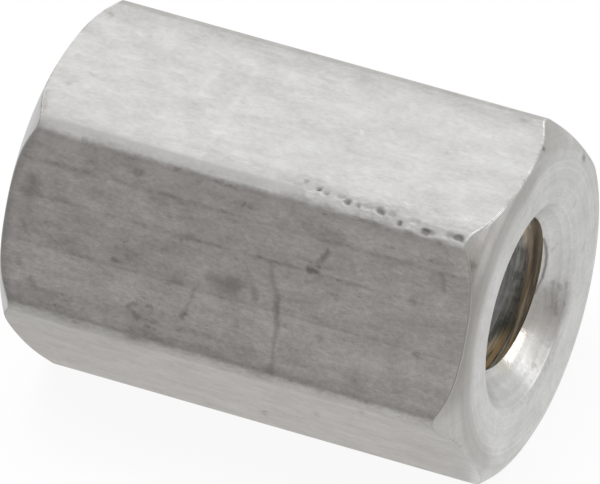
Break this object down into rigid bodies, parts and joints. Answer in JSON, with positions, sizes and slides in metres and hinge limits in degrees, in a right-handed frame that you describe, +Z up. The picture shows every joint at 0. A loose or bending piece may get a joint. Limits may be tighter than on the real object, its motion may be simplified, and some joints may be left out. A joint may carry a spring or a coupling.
{
  "type": "hex standoff",
  "caption": "Hexagonal standoff with a threaded hole right through, a countersink at each mouth, and rounded chamfers on the end corners.",
  "frame": {"origin": "middle of the lower flat, halfway along the length: the standoff lies on that flat", "axes": "+X along the hole's axis, +Z straight up from the lower flat to the upper flat, +Y towards the corner between the two flats of the far side"},
  "size_m": [0.0096, 0.0072, 0.0063],
  "materials": {
    "standoff": "machined and tumbled matte, faint streaks along the bar"
  },
  "bodies": {
    "root": {"standoff": "standoff"}
  },
  "joints": []
}
